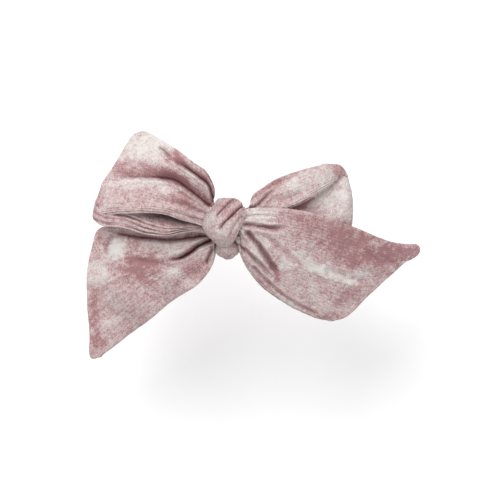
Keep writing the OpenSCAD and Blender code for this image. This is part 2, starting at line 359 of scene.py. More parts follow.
def velvet_material():
    """Crushed stretch velvet: the pile lies in silvery and deep rose patches, over fine ribs,
    with lines of stitching pressed in beside the seams. Painted shade multiplies the colour
    towards rose or grey in creases, hollows and shaded parts, and painted highlight on ridges
    and painted shade in valleys come in with the lie of the pile."""
    n = Nodes("crushed_velvet")
    nap_and_painted_light = n.attribute("nap_and_painted_light")
    mottle = n.noise(260.0, 7.0, 0.66, 0.8)
    flecks = n.noise(900.0, 5.0, 0.72, 0.4)
    grain = n.noise(2600.0, 2.0, 0.6)
    ribs = n.math("SINE", n.math("MULTIPLY", n.attribute("rib"), 2 * math.pi / RIB_PITCH))
    hem = n.attribute("hem")
    near = n.add(
        "ShaderNodeMapRange",
        {"Value": hem, "From Min": 1.4, "From Max": 3.4, "To Min": 1.0, "To Max": 0.0},
    ).outputs["Result"]
    lines = n.math("SINE", n.math("MULTIPLY", hem, 2 * math.pi / HEM_PITCH))
    lines = n.math("MULTIPLY", lines, near)
    # The flattened, deep patches are smoother than the silvery ones
    rough = n.add(
        "ShaderNodeMapRange",
        {"Value": nap_and_painted_light, "From Min": 0.0, "From Max": 0.6, "To Min": 0.85, "To Max": 1.0},
    ).outputs["Result"]
    speckle = n.math("MULTIPLY", n.math("SUBTRACT", flecks, 0.5), 1.5)
    speckle = n.math("MULTIPLY_ADD", n.math("SUBTRACT", grain, 0.5), 1.7, speckle)
    # The lie carries the pile's patches and, from the mesh, painted highlight on crests and painted
    # shade in valleys
    lie = n.math("MULTIPLY_ADD", n.math("SUBTRACT", mottle, 0.5), 1.1, nap_and_painted_light)
    lie = n.math("MULTIPLY_ADD", speckle, rough, lie)
    lie = n.math("MULTIPLY_ADD", ribs, 0.05, lie)
    lie = n.math("MULTIPLY_ADD", lines, 0.12, lie)
    colour = n.ramp(
        lie,
        [
            (0.0, srgb(142, 104, 106)),
            (0.2, srgb(159, 125, 126)),
            (0.4, srgb(174, 150, 150)),
            (0.6, srgb(183, 167, 165)),
            (0.8, srgb(191, 183, 180)),
            (1.0, srgb(199, 195, 191)),
        ],
    )
    # Painted shade: where the mesh carries painted shade, the colour is multiplied towards this
    # deep rose on rose patches and this grey on silvery ones
    shade = n.ramp(lie, [(0.15, srgb(132, 78, 84)), (0.7, srgb(130, 119, 116))])
    n.set(
        Base_Color=n.mix("MULTIPLY", n.attribute("dark"), colour, shade),
        Roughness=0.75,
        Specular_IOR_Level=0.25,
        Sheen_Weight=0.2,
        Sheen_Roughness=0.4,
        Sheen_Tint=(1.0, 0.95, 0.94, 1.0),
    )
    fine = n.bump(n.math("MULTIPLY_ADD", ribs, 0.3, grain), 0.00012, 0.6)
    pressed = n.bump(lines, 0.00014, 0.8, fine)
    n.set(Normal=n.bump(flecks, 0.0003, 0.4, pressed))
    return n.material


def metal_material(name, colour, roughness):
    """Nickel plated steel with fine scratches and a few dull, worn spots."""
    n = Nodes(name)
    place = n.add("ShaderNodeTexCoord").outputs["Object"]
    drawn = n.add("ShaderNodeMapping", {"Vector": place, "Scale": (60.0, 2600.0, 2600.0)})
    scratches = n.noise(1.0, 3.0, 0.6, vector=drawn.outputs[0])
    wear = n.noise(260.0, 5.0, 0.6)
    rough = n.math("MULTIPLY_ADD", n.math("SUBTRACT", wear, 0.5), 0.12, roughness)
    rough = n.math("MULTIPLY_ADD", n.math("SUBTRACT", scratches, 0.5), 0.12, rough)
    dull = tuple(0.92 * c for c in colour)
    n.set(
        Base_Color=n.ramp(wear, [(0.35, dull), (0.6, colour)]),
        Metallic=1.0,
        Roughness=rough,
        Normal=n.bump(scratches, 0.00002, 0.6),
    )
    return n.material


def thread_material():
    """Twisted polyester thread."""
    n = Nodes("thread")
    place = n.add("ShaderNodeTexCoord").outputs["Object"]
    turned = n.add("ShaderNodeMapping", {"Vector": place, "Rotation": (0.6, 0.5, 0.9)})
    ply = n.add(
        "ShaderNodeTexWave", {"Vector": turned.outputs[0], "Scale": 1500.0, "Distortion": 1.0}
    ).outputs["Fac"]
    n.set(
        Base_Color=n.ramp(ply, [(0.2, srgb(176, 130, 136)), (0.9, srgb(216, 178, 182))]),
        Roughness=0.6,
        Sheen_Weight=0.2,
        Normal=n.bump(ply, 0.00006, 0.8),
    )
    return n.material


def felt_material():
    """Pressed felt with short fibres in every direction."""
    n = Nodes("felt")
    place = n.add("ShaderNodeTexCoord").outputs["Object"]
    fibres = n.noise(1500.0, 6.0, 0.75, 2.0)
    tufts = n.noise(420.0, 3.0, 0.6)
    crossed = n.add("ShaderNodeMapping", {"Vector": place, "Scale": (900.0, 3800.0, 1500.0)})
    strands = n.noise(1.0, 4.0, 0.7, 1.0, crossed.outputs[0])
    value = n.math("MULTIPLY_ADD", n.math("SUBTRACT", strands, 0.5), 0.8, fibres)
    n.set(
        Base_Color=n.ramp(value, [(0.3, srgb(196, 160, 164)), (0.75, srgb(230, 206, 206))]),
        Roughness=0.95,
        Sheen_Weight=0.3,
        Normal=n.bump(n.math("ADD", value, tufts), 0.0003, 0.7),
    )
    return n.material


def floor_material():
    n = Nodes("pale_floor")
    cloudy = n.noise(12.0, 3.0)
    n.set(
        Base_Color=n.ramp(cloudy, [(0.3, (0.9, 0.9, 0.9)), (0.7, (0.93, 0.93, 0.93))]),
        Roughness=0.9,
        Specular_IOR_Level=0.1,
    )
    return n.material


velvet = velvet_material()
felt = felt_material()
thread = thread_material()


# ---------------------------------------------------------------- the draped sash

# Edges from the knot outwards. A loop's edges run out along its front, round the fold
# and back in along its rear.
LEFT_LOOP_TOP = [
    (-3.4, 4.6, 21.6), (-4.2, 9, 21.4), (-3.9, 13.4, 21.2), (-6.6, 18.6, 21),
    (-11, 21.9, 20.4), (-17.5, 27, 19), (-23, 30.8, 16.8), (-27.4, 32.8, 13.4),
    (-26, 31.4, 10), (-17, 26, 11.6), (-11.5, 19.6, 13.8), (-8.8, 13, 16), (-8, 6, 17.6),
    (-3.4, 4.6, 19.4),
]
LEFT_LOOP_MOUTH = [
    (-3.4, -3.4, 22), (-7.6, -0.6, 21.9), (-11.5, 0.9, 22.2), (-16.8, 2.3, 22.6),
    (-22.5, 3.9, 22.6), (-30.1, 4.5, 21.6), (-40.3, 4.2, 18.4), (-45.4, 3.4, 15),
    (-43.4, 0.6, 12.4), (-35.4, -0.8, 12.9), (-28, -2.6, 13.8), (-20.7, -3.3, 15.2),
    (-11.7, -2.2, 17), (-3.4, -3.2, 19.2),
]
LEFT_LOOP_FOLD = [
    (-26.8, 32, 13.2), (-30.4, 31.2, 13.2), (-34, 26.2, 13.4), (-38.2, 19.4, 13.8),
    (-42.4, 12.4, 14.2), (-44.2, 3.4, 14.6),
]
RIGHT_LOOP_TOP = [
    (3.4, 4.6, 16.8), (7.9, 6.8, 17.1), (9.6, 11, 17.9), (14.6, 14.8, 18.4),
    (21, 17.8, 18.5), (28, 20, 17.8), (35, 22, 16), (39.2, 21.4, 13.4), (39, 20.6, 10.8),
    (34, 20, 10.2), (28, 18.6, 10.6), (20, 15.4, 11.8), (13, 11, 13.4), (8, 5.8, 14.2),
    (3.4, 4.6, 14.2),
]
RIGHT_LOOP_MOUTH = [
    (3.4, -4, 16.8), (7.8, -2, 17), (13, 1.6, 17.4), (20, 5, 17.8), (26.4, 7.8, 17.6),
    (30.4, 10, 17.2), (35.9, 13.6, 16), (40.6, 16.6, 13.4), (43.2, 12.4, 11.2),
    (44.6, 4.4, 10.2), (42, -3, 9.6), (30, -5, 11), (18, -5, 13), (8, -4.8, 14.1),
    (3.4, -4, 14.2),
]
RIGHT_LOOP_FOLD = [(38.4, 21.2, 13.4), (40.4, 19.6, 13.4), (41, 16.8, 13.2)]
LEFT_TAIL_TOP = [
    (-3.4, 4.2, 15.4), (-7.5, 2.6, 15), (-14, 1.6, 14.2), (-22, 1, 13.2), (-32, 0.8, 11.8),
    (-39, 0.4, 9.6), (-44, -0.4, 7.8),
]
LEFT_TAIL_BOTTOM = [
    (-3.4, -4, 15.4), (-4.2, -13, 13.4), (-9.2, -20.2, 10.4), (-18, -25.8, 7),
    (-27, -33, 3.8), (-36, -39.8, 2), (-44.6, -46, 1.6),
]
LEFT_TAIL_END = [
    (-44, -0.4, 7.8), (-45.9, -2, 7.2), (-47.3, -6, 6.6), (-48.6, -12, 5.8),
    (-49.4, -20, 4.8), (-49.2, -30, 3.6), (-48.7, -39, 2.4), (-48.8, -44.4, 1.9),
    (-48, -46.7, 1.7), (-46.4, -47.1, 1.6), (-44.6, -46, 1.6),
]
RIGHT_TAIL_TOP = [
    (3.6, 4.2, 20.7), (8, 5.9, 20.8), (18.4, 6.2, 20.6), (31.4, 4.5, 18.2),
    (44, 0, 13.2), (55, -4.5, 8), (61, -6, 5), (67, -6.5, 2.2),
]
RIGHT_TAIL_BOTTOM = [
    (3.6, -4, 20.7), (5.4, -11.2, 17.6), (10.6, -19, 12.8), (17.6, -25.2, 8.8),
    (24.6, -29.4, 5.8), (30.4, -32, 3.6), (34.6, -33, 2.2), (37.6, -33.4, 1.6),
]
RIGHT_TAIL_END = [
    (67, -6.5, 2.2), (68.5, -7.4, 2), (68.7, -9.2, 1.9), (67, -11, 1.8),
    (62.8, -13.2, 2), (57, -18.4, 2), (50, -25.4, 1.7), (44, -31.2, 1.5),
    (41, -33, 1.5), (37.6, -33.4, 1.6),
]

LEFT_LOOP_FOLDS = [
    Fold([(-6.2, 7.3), (-11.7, 11.8), (-17.4, 15.6), (-23.7, 16.8), (-34.3, 17), (-42, 16.4)],
         (0.8, 2.2), 2.5, (0.9, 0.5), 1.2, 0.45),
    Fold([(-4.7, 8.8), (-6, 14), (-10.2, 17.6), (-15.3, 21.2), (-20, 23.6)],
         (0.6, 1.0), 1.8, (0.6, 0.4), 1.0, 0.6),
    Fold([(-3.6, 10.5), (-4.6, 15), (-7.4, 18.4)], (0.5, 0.5), 0.9, (0.3, 0.3), 0.55, 0.7),
    Fold([(-7, 4.2), (-12, 6.4), (-18, 8.2), (-26, 9.6)], (0.9, 1.1), 0.8, (0.4, 0.4), 0.2, 0.4),
    Fold([(-7.2, 1.6), (-13, 3.4), (-20, 5.6)], (0.7, 0.7), 0.6, (0.3, 0.3), 0.3, 0.4),
    Fold([(-7, 5.8), (-12, 9.4), (-17, 12)], (0.6, 0.8), 0.7, (0.3, 0.3), 0.3, 0.4),
    Fold([(-20, 24.4), (-22, 26.4), (-24, 27)], (0.5, 0.6), 0.7, (0.4, 0.3), 0.5, 0.7),
    Fold([(-25, 20.5), (-33, 21.5), (-38, 20)], (1.6, 1.6), 0.4, (0.2, 0.2), 0.1, 0.5),
]
RIGHT_LOOP_FOLDS = [
    Fold([(9.4, 6.2), (12.7, 8.8), (15.6, 11.6), (19, 13.4)],
         (0.6, 0.6), 1.5, (0.5, 0.5), 1.0, 0.55),
    Fold([(9.2, 9), (13.6, 12.6), (20, 15.8), (27, 17.6)], (0.7, 0.9), 0.8, (0.4, 0.4), 0.35, 0.5),
    Fold([(16, 8), (24, 11), (32, 15)], (1.2, 1.2), 0.6, (0.3, 0.3), 0.2, 0.5),
    Fold([(31, 8.4), (36, 9.6), (42, 9)], (1.1, 1.1), 0.6, (0.3, 0.3), 0.12, 0.6),
]
LEFT_TAIL_FOLDS = [
    Fold([(-5.1, -5), (-9.4, -7), (-14.2, -10.2), (-18.3, -11.5), (-24, -12.2)],
         (0.6, 0.9), 2.2, (0.7, 0.9), 1.25, 0.5),
    Fold([(-4.6, -8), (-6.2, -11.2), (-7.2, -13.8)], (0.6, 0.6), 0.9, (0.4, 0.4), 0.6, 0.6),
    Fold([(-5, -3.2), (-12, -3.9), (-20, -4.5), (-34, -3.2), (-42, -1.4)],
         (0.8, 1.2), 1.2, (0.2, 0.4), 0.85, 0.75),
    Fold([(-7, -12), (-14, -18), (-22, -23)], (1.6, 1.6), 0.5, (0.3, 0.3), 0.05, 0.4),
    Fold([(-40.5, -3.5), (-42, -8), (-41, -12)], (0.9, 0.9), 0.7, (0.3, 0.3), 0.3, 0.5),
    Fold([(-20, -13.6), (-28, -12.2), (-35, -11.4)], (1.2, 0.9), 0.5, (0.2, 0.4), 0.2, 0.6),
]
RIGHT_TAIL_FOLDS = [
    Fold([(6.7, 0.9), (11.9, 0.1), (16.2, -0.3), (21.6, -0.4)],
         (0.55, 0.9), 1.9, (0.7, 0.5), 1.2, 0.7),
    Fold([(7.7, -2.2), (10.5, -5.3), (13.2, -8.8), (15.8, -12.7), (19.4, -17.6)],
         (0.6, 0.9), 2.5, (0.9, 0.8), 1.3, 0.75),
    Fold([(4.9, -6.6), (8.8, -10), (12.6, -13.4), (17, -18.4)],
         (0.5, 0.8), 1.7, (0.6, 0.5), 1.1, 0.65),
    Fold([(8, -1.2), (15, -4.6), (22, -10.4), (29, -15.2)], (0.9, 0.9), 0.7, (0.5, 0.5), 0.25, 0.5),
    Fold([(9.7, -14), (14.4, -19), (19.7, -23.6), (26, -27.6), (33.6, -31.2)],
         (0.5, 0.5), 1.0, (0.4, 0.3), 0.55, 0.85),
    Fold([(6.4, 3.4), (12, 3.8), (20, 3.4)], (0.5, 0.5), 0.4, (0.2, 0.2), 0.2, 0.5),
    Fold([(6.4, 4.8), (12, 5.2), (18, 4.9)], (0.4, 0.4), 0.25, (0.15, 0.15), 0.15, 0.5),
    Fold([(36, -15.6), (44, -18), (50, -19)], (1.0, 1.0), 0.6, (0.4, 0.4), 0.15, 0.5),
    Fold([(50, -10), (56, -12.4), (62, -12)], (1.3, 1.3), 0.6, (0.3, 0.3), 0.15, 0.5),
]

# Patches of the nap: x, y, half length, half width, turn in degrees, change of value. Most
# are the crushed pattern of the velvet; some pale ones along ridges are painted highlight
# and some deep ones along creases are painted shade.
LEFT_LOOP_PATCHES = [
    (-27, 27, 11, 7, 35, 0.42), (-31, 20.5, 9, 3, 8, -0.36), (-19, 16.8, 7, 2.4, -30, -0.42),
    (-32, 14.8, 11, 1.7, 3, 0.3), (-17, 22.5, 5, 2.2, -38, -0.4), (-8, 18, 4, 1.6, -60, -0.3),
    (-36, 9.5, 9, 4, 0, 0.0), (-20, 12.4, 4.5, 1.8, -25, 0.18), (-16, 9.5, 5, 3, -20, -0.3),
    (-11, 15.5, 6, 1.6, -45, 0.2), (-42, 20, 3, 8, -25, 0.25), (-10, 5.6, 4, 2, -30, -0.1),
    (-36, 0, 12, 2.6, 0, 0.12), (-14, -1, 10, 2, 0, 0.1),
]
RIGHT_LOOP_PATCHES = [
    (30, 17, 9, 4, 20, 0.2), (39.6, 19.4, 2, 4, -10, -0.35), (33, 20.6, 4, 1, 12, -0.1),
    (16, 11.5, 6, 3.2, 35, -0.16), (24, 13.6, 4, 3, 0, 0.18), (26, 7.6, 7, 1.4, 24, -0.5),
    (38, 8, 9, 6, 10, 0.36), (42.5, 15, 2, 6, 0, 0.3), (34, 5.2, 6, 1.4, -10, -0.2),
    (22, 17.6, 7, 1.6, 25, -0.2),
]
LEFT_TAIL_PATCHES = [
    (-39, -8, 4.4, 3.4, 40, 0.66), (-29, -15, 8, 5.4, 0, -0.42), (-45, -17, 4.4, 5.6, -15, 0.32),
    (-22, -5.4, 12, 1.8, 0, 0.1), (-19, -8.2, 6, 1.7, -20, 0.3), (-12, -13.5, 8, 3, -38, -0.2),
    (-19.5, -15, 3.2, 2, -30, 0.34), (-47, -29, 1.8, 8, 0, -0.34), (-45.4, -41.5, 3, 3, 0, -0.34),
    (-43.6, -7, 1.6, 5, 15, -0.22), (-38, -26.8, 8, 3, -35, 0.08), (-32, -33, 11, 3.2, -38, 0.02),
    (-17, -23.4, 7, 2.4, -38, 0.1), (-41, -33.6, 2.6, 1.8, 0, 0.26), (-37, -30.4, 4, 1.6, 0, -0.2),
    (-26, -21.4, 8, 1.6, -30, -0.08), (-31, -4.6, 8, 1.8, 0, -0.16),
]
RIGHT_TAIL_PATCHES = [
    (12, 4.4, 8, 2.4, 0, 0.36), (36, 0.6, 19, 3.6, -12, -0.26), (47, -9, 14, 6.4, -20, -0.4),
    (62, -9, 9, 3.4, -5, -0.34), (37, -16.4, 8, 2.4, -18, 0.44), (46, -17.6, 4, 2.4, 30, 0.3),
    (20.5, -12.6, 4.2, 2.6, -40, 0.34), (28, -12, 7, 1.6, -38, 0.36),
    (14.5, -5.4, 6, 1.8, -45, 0.22),
    (18, -9, 5, 2, -45, -0.14), (10.4, -9, 4, 1.5, -60, 0.26), (17, -15.4, 4, 1.3, -60, -0.4),
    (27, -20.5, 7, 4.5, -30, 0.1), (43, -23.6, 5.4, 2.8, 35, -0.24), (30, -3, 6, 3, -10, -0.12),
    (34, -26.5, 6, 2.4, -20, 0.12), (38, -31.6, 4, 1.6, 15, -0.2), (22, -26.6, 11, 1.2, -38, 0.26),
    (51, -15.8, 3, 2, 0, 0.2), (14, -20.6, 5, 1.2, -45, -0.2),
]

# Painted shade: patches of the tails painted greyer and darker
LEFT_TAIL_PAINTED_SHADE = [(-34, -31.5, 16, 5.5, -38, 1.0), (-17, -23, 8, 3.5, -38, 0.9)]
RIGHT_TAIL_PAINTED_SHADE = [(34, -24, 10, 6, -25, 0.45), (13, -17, 9, 3, -50, 0.5)]


def gathers(s, t, count, reach, height, seed):
    """Pleats that run out from the gathered neck and fade with the share s."""
    wave = np.cos(2 * math.pi * count * t + seed)
    wave += 0.6 * np.cos(2 * math.pi * (count * 1.63) * t + 2.1 * seed)
    return height * wave * bell(s / reach)


def crumple(points, amount, seed):
    """Soft irregular waves of the cloth, in mm, along each axis."""
    waves = np.stack([noise_field(points, 9.0, seed + k) for k in range(3)], axis=2)
    small = noise_field(points, 4.0, seed + 3)[..., None] * normals(points)
    return points + amount * waves * (0.6, 0.6, 1.0) + 0.3 * amount * small


def rib_places(points):
    """Distance across the sheet in mm, for the ribs that run along it."""
    middle = points[len(points) // 3]
    run = np.concatenate([[0], np.cumsum(np.linalg.norm(np.diff(middle, axis=0), axis=1))])
    return np.broadcast_to(run, points.shape[:2])


def hem_distance(points, side):
    """Distance in mm from the sheet's first side edge, 0, or last, 1, along its own lines
    across it, or NO_HEM all over where side is None."""
    if side is None:
        return np.full(points.shape[:2], NO_HEM)
    across = np.linalg.norm(np.diff(points, axis=1), axis=2)
    run = np.concatenate([np.zeros((len(points), 1)), np.cumsum(across, axis=1)], axis=1)
    return run[:, -1:] - run if side else run


def settle(points, neck):
    """Runs a short cloth simulation of the sheet, held at its neck and softly elsewhere. The
    cloth is a little too large for its place, so that it crumples. Returns its moves."""
    n, m = points.shape[:2]
    rows = np.unique(np.linspace(0, n - 1, n // 4).round().astype(int))
    columns = np.unique(np.linspace(0, m - 1, m // 3).round().astype(int))
    coarse = points[np.ix_(rows, columns)] * SIM_SCALE
    h, w = coarse.shape[:2]
    at = np.arange(h * w).reshape(h, w)
    corners = np.stack([at[:-1, :-1], at[1:, :-1], at[1:, 1:], at[:-1, 1:]], axis=-1)
    mesh = bpy.data.meshes.new("cloth_run")
    mesh.from_pydata(coarse.reshape(-1, 3).tolist(), [], corners.reshape(-1, 4).tolist())
    obj = bpy.data.objects.new("cloth_run", mesh)
    bpy.context.scene.collection.objects.link(obj)
    group = obj.vertex_groups.new(name="held")
    held = np.repeat(neck[rows], w)
    for i, weight in enumerate(held):
        group.add([i], float(weight), "REPLACE")
    cloth = obj.modifiers.new("cloth", "CLOTH")
    settings = cloth.settings
    settings.vertex_group_mass = "held"
    settings.pin_stiffness = 0.6
    settings.quality = 6
    settings.mass = 0.3
    settings.tension_stiffness = settings.compression_stiffness = 20
    settings.shear_stiffness = 8
    settings.bending_stiffness = 0.4
    settings.shrink_min = settings.shrink_max = -0.05
    settings.effector_weights.gravity = 0.2
    cloth.collision_settings.use_collision = False
    cloth.collision_settings.use_self_collision = False
    scene = bpy.context.scene
    for k in range(1, SIM_FRAMES + 1):
        scene.frame_set(k)
    deps = bpy.context.evaluated_depsgraph_get()
    result = obj.evaluated_get(deps).to_mesh()
    moved = np.empty(h * w * 3)
    result.vertices.foreach_get("co", moved)
    scene.frame_set(1)
    bpy.data.objects.remove(obj)
    bpy.data.meshes.remove(mesh)
    moves = (moved.reshape(h, w, 3) - coarse) / SIM_SCALE
    length = np.linalg.norm(moves, axis=2, keepdims=True)
    moves *= SIM_CAP * np.tanh(length / SIM_CAP) / np.maximum(length, 1e-9)
    for _ in range(3):
        wide = np.pad(moves, ((1, 1), (0, 0), (0, 0)), "edge")
        moves = (wide[:-2] + 2 * moves + wide[2:]) / 4
        wide = np.pad(moves, ((0, 0), (1, 1), (0, 0)), "edge")
        moves = (wide[:, :-2] + 2 * moves + wide[:, 2:]) / 4
    # Back to the full grid, smoothly both ways
    along = smooth_curve(moves.reshape(h, w * 3), np.linspace(0, 1, n)).reshape(n, w, 3)
    across = along.transpose(1, 0, 2).reshape(w, n * 3)
    return smooth_curve(across, np.linspace(0, 1, m)).reshape(m, n, 3).transpose(1, 0, 2)


def lifted(height):
    """Moves straight up by a field of heights."""
    return height[..., None] * np.array((0.0, 0.0, 1.0))


def finish_sheet(name, points, detail, ends, hem_side, upper, lower, necks):
    """necks, 0 to 1, is how far the cloth is bunched up in the gathered neck."""
    hem = hem_distance(points, hem_side)
    rib = rib_places(points)
    for side in (upper, lower):
        side.update(hem=hem, rib=rib)
    fuzz = 0.06 * noise_field(points, 1.5, 11) + 0.03 * noise_field(points, 0.6, 12)
    detail = detail + fuzz[..., None] * normals(points)
    detail += 0.08 * noise_field(points, 1.4, 13)[..., None] * (1, 1, 0)
    half = rounded_half(points, ends)
    half *= 1 + NECK_SWELL * necks
    return on_bow(shell(name, points, detail, half, velvet, upper, lower))


def fold_fields(points, folds):
    # Heights of the folds, and the painted shade of the darkest crease at each point
    height, dark = np.zeros(points.shape[:2]), np.zeros(points.shape[:2])
    for fold in folds:
        h, d = fold.field(points)
        height += h
        dark = np.minimum(np.maximum(dark, d), 1)
    return height, dark


def make_loop(name, top, mouth, fold, folds, patches, crown, lip, rolled, inner, seed):
    """lip is (height, first share, full share, last full share, end share) of the rise of
    the rear layer, across it. rolled is the share of its width past which it has rolls, or
    over 1 for none. inner is (depth of the painted shade inside, of the painted shade between
    rolls, change of the pile's lie)."""
    points, s, t = grid_between(top, mouth, *LOOP_GRID)
    middle = points[len(points) // 2]
    out = smooth_curve(fold, t[0]) - middle
    points += bell((s - 0.5) / 0.1)[..., None] * out
    points[..., 2] += crown * np.sin(2 * math.pi * s) * np.sin(math.pi * t)
    points = crumple(points, 0.5, seed)
    points += settle(points, 0.25 + 0.75 * bell(np.minimum(s, 1 - s)[:, 0] / 0.06))
    height, dark = fold_fields(points, folds)
    pleats = gathers(np.minimum(s, 1 - s), t, 4.6, 0.1, 0.45, seed)
    face = 1 - smoothstep(0.46, 0.52, s)
    rear = smoothstep(0.52, 0.6, s)
    # The rear layer rises towards its visible part, and rolls run along its edge
    rise, first, full, last, end = lip
    belly = np.sin(math.pi * np.clip((s - 0.5) * 2, 0, 1)) ** 0.6
    rise = rise * belly * smoothstep(first, full, t) * (1 - smoothstep(last, end, t))
    band = smoothstep(rolled, rolled + 0.04, t)
    wander = 2.2 * noise_field(points, 8, seed + 20)
    strong = 0.6 + 0.6 * noise_field(points, 5, seed + 21)
    rolls = np.sin(2 * math.pi * ((1 - t) / 0.055 + 0.3) + wander) * band * strong
    points[..., 2] += rear * rise
    relief = face * (height + pleats) + rear * (0.4 * rolls - pleats)
    # Painted highlight on crests and painted shade in valleys: the lie follows the cloth's height
    nap_and_painted_light = patches_at(points, patches, NAP_BASE) + RELIEF_PAINTED_LIGHT * np.clip(face * height, -1.5, 1)
    dark_in, dark_roll, nap_in = inner
    # Painted shade inside the loop: the colour darkens from its visible part inwards and between
    # its rolls
    deep = (1 - smoothstep(full - 0.02, full + 0.07, t)) * dark_in
    painted_roll_shade = smoothstep(0.2, 1.0, -rolls) * dark_roll
    upper = {"dark": dark * face, "nap_and_painted_light": nap_and_painted_light}
    # Painted highlight: the crests of the rolls inside are painted paler
    lower = {
        "dark": rear * np.maximum(np.maximum(painted_roll_shade, deep), dark * (rolled > 1)),
        "nap_and_painted_light": nap_and_painted_light + nap_in + 0.3 * rear * rolls,
    }
    necks = bell(np.minimum(s, 1 - s) / 0.05)
    return finish_sheet(name, points, lifted(relief), False, 1, upper, lower, 0.3 * necks)


def make_tail(name, top, bottom, end, folds, patches, painted_shade_patches, crown, hem_side, seed):
    """crown lifts the middle; the second list of patches gives where grey shade is painted."""
    points, s, t = grid_between(top, bottom, *TAIL_GRID)
    out = smooth_curve(end, t[0]) - points[-1]
    points += (s**4)[..., None] * out
    points[..., 2] += crown * np.sin(math.pi * s) * np.sin(math.pi * t)
    points = crumple(points, 0.5, seed)
    points += settle(points, 0.25 + 0.75 * bell(s[:, 0] / 0.06))
    height, dark = fold_fields(points, folds)
    relief = height + gathers(s, t, 4.2, 0.13, 0.5, seed)
    # Painted highlight on crests and painted shade in valleys: the lie follows the cloth's height
    nap_and_painted_light = patches_at(points, patches, NAP_BASE) + RELIEF_PAINTED_LIGHT * np.clip(height, -1.5, 1)
    # Painted shade: grey darkening over those patches
    dark = np.maximum(dark, 0.22 * np.clip(patches_at(points, painted_shade_patches, 0.0), 0, 1))
    upper = {"dark": dark, "nap_and_painted_light": nap_and_painted_light}
    lower = {"dark": np.zeros_like(dark), "nap_and_painted_light": nap_and_painted_light}
    return finish_sheet(name, points, lifted(relief), True, hem_side, upper, lower, bell(s / 0.09))


left_loop = make_loop(
    "left_loop_velvet", LEFT_LOOP_TOP, LEFT_LOOP_MOUTH, LEFT_LOOP_FOLD, LEFT_LOOP_FOLDS,
    LEFT_LOOP_PATCHES, 1.0, (5.0, 0.62, 0.78, 2, 3), 0.81, (0.55, 0.6, -0.12), 1,
)
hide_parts("left_loop")
right_loop = make_loop(
    "right_loop_velvet", RIGHT_LOOP_TOP, RIGHT_LOOP_MOUTH, RIGHT_LOOP_FOLD, RIGHT_LOOP_FOLDS,
    RIGHT_LOOP_PATCHES, 0.9, (4.2, 0.0, 0.22, 0.72, 1.0), 2, (0.5, 0.0, 0.05), 2,
)
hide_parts("right_loop")
left_tail = make_tail(
    "left_tail_velvet", LEFT_TAIL_TOP, LEFT_TAIL_BOTTOM, LEFT_TAIL_END, LEFT_TAIL_FOLDS,
    LEFT_TAIL_PATCHES, LEFT_TAIL_PAINTED_SHADE, 1.2, None, 3,
)
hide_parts("left_tail")
right_tail = make_tail(
    "right_tail_velvet", RIGHT_TAIL_TOP, RIGHT_TAIL_BOTTOM, RIGHT_TAIL_END, RIGHT_TAIL_FOLDS,
    RIGHT_TAIL_PATCHES, RIGHT_TAIL_PAINTED_SHADE, 1.5, 1, 4,
)
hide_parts("right_tail")


# ---------------------------------------------------------------- the knot

# Angle round the clip from the face towards +Y, left edge, right edge, outer radius
KNOT_TABLE = [
    (-180, -3.6, 3.6, 8.4), (-135, -3.2, 3.2, 8.6), (-105, -2.8, 2.8, 8.4), (-80, -2.9, 2.5, 8.2),
    (-60, -4.0, 2.9, 8.5), (-45, -5.4, 3.5, 8.8), (-30, -6.9, 4.1, 9.0), (0, -8.4, 5.4, 9.1),
    (30, -7.6, 6.9, 9.3), (45, -6.7, 7.4, 9.6), (60, -5.3, 7.0, 9.8), (75, -4.2, 5.8, 10.0),
    (105, -3.2, 3.8, 9.8), (135, -3.2, 3.4, 9.0), (180, -3.6, 3.6, 8.4),
]
KNOT_FOLDS = [
    Fold([(7.4, 7.9), (4.5, 6.1), (2.3, 3.9), (0.2, 1.8), (-1.4, 0), (-2.2, -1.6)],
         (0.24, 0.42), 0.85, (0.1, 0.3), 1.1, 0.85),
    Fold([(2.6, 9.4), (1.3, 8.3), (-0.6, 6.4), (-2.6, 4.2), (-3.6, 2.8)],
         (0.22, 0.34), 0.5, (0.1, 0.2), 0.9, 0.8),
    Fold([(-0.6, 9.8), (-3, 7.6), (-5, 4.8)], (0.4, 0.4), 0.3, (0.1, 0.1), 0.2, 0.7),
    Fold([(5.6, 3.6), (3.2, 0.6), (1.6, -3), (0.6, -6.6)], (0.5, 0.5), 0.5, (0.1, 0.1), 0.35, 0.6),
    Fold([(-6, 2), (-4.6, -1.6), (-2.2, -5.4)], (0.5, 0.5), 0.35, (0.1, 0.1), 0.25, 0.6),
    Fold([(3.6, 9), (1.6, 7.2), (-0.6, 4.6)], (0.3, 0.3), 0.25, (0.1, 0.1), 0.2, 0.7),
]
# Patches of the knot's nap; the paler ones on its left and lower parts go with the painted grey
# shade listed next, so that the shade there reads grey
KNOT_PATCHES = [
    (-5.5, 1, 3.4, 4.2, 20, 0.24), (-1.5, -4.5, 3.4, 3.6, 0, 0.22), (3.5, 5, 3.4, 2, 45, -0.2),
    (1, 7.6, 4, 1.4, 40, -0.14), (1.8, -0.4, 2.6, 2.2, 50, 0.26), (-1.6, 3.6, 3.6, 1, 45, -0.16),
    (0, -9.6, 4, 2, 0, 0.16),
]
# Painted shade: greyer, darker patches on the knot's left and lower parts
KNOT_PAINTED_SHADE = [(-6, 1.5, 3, 5, 15, 0.8), (-2, -5, 4.5, 3, -20, 0.8), (0, -10, 4.6, 2.6, 0, 0.7)]


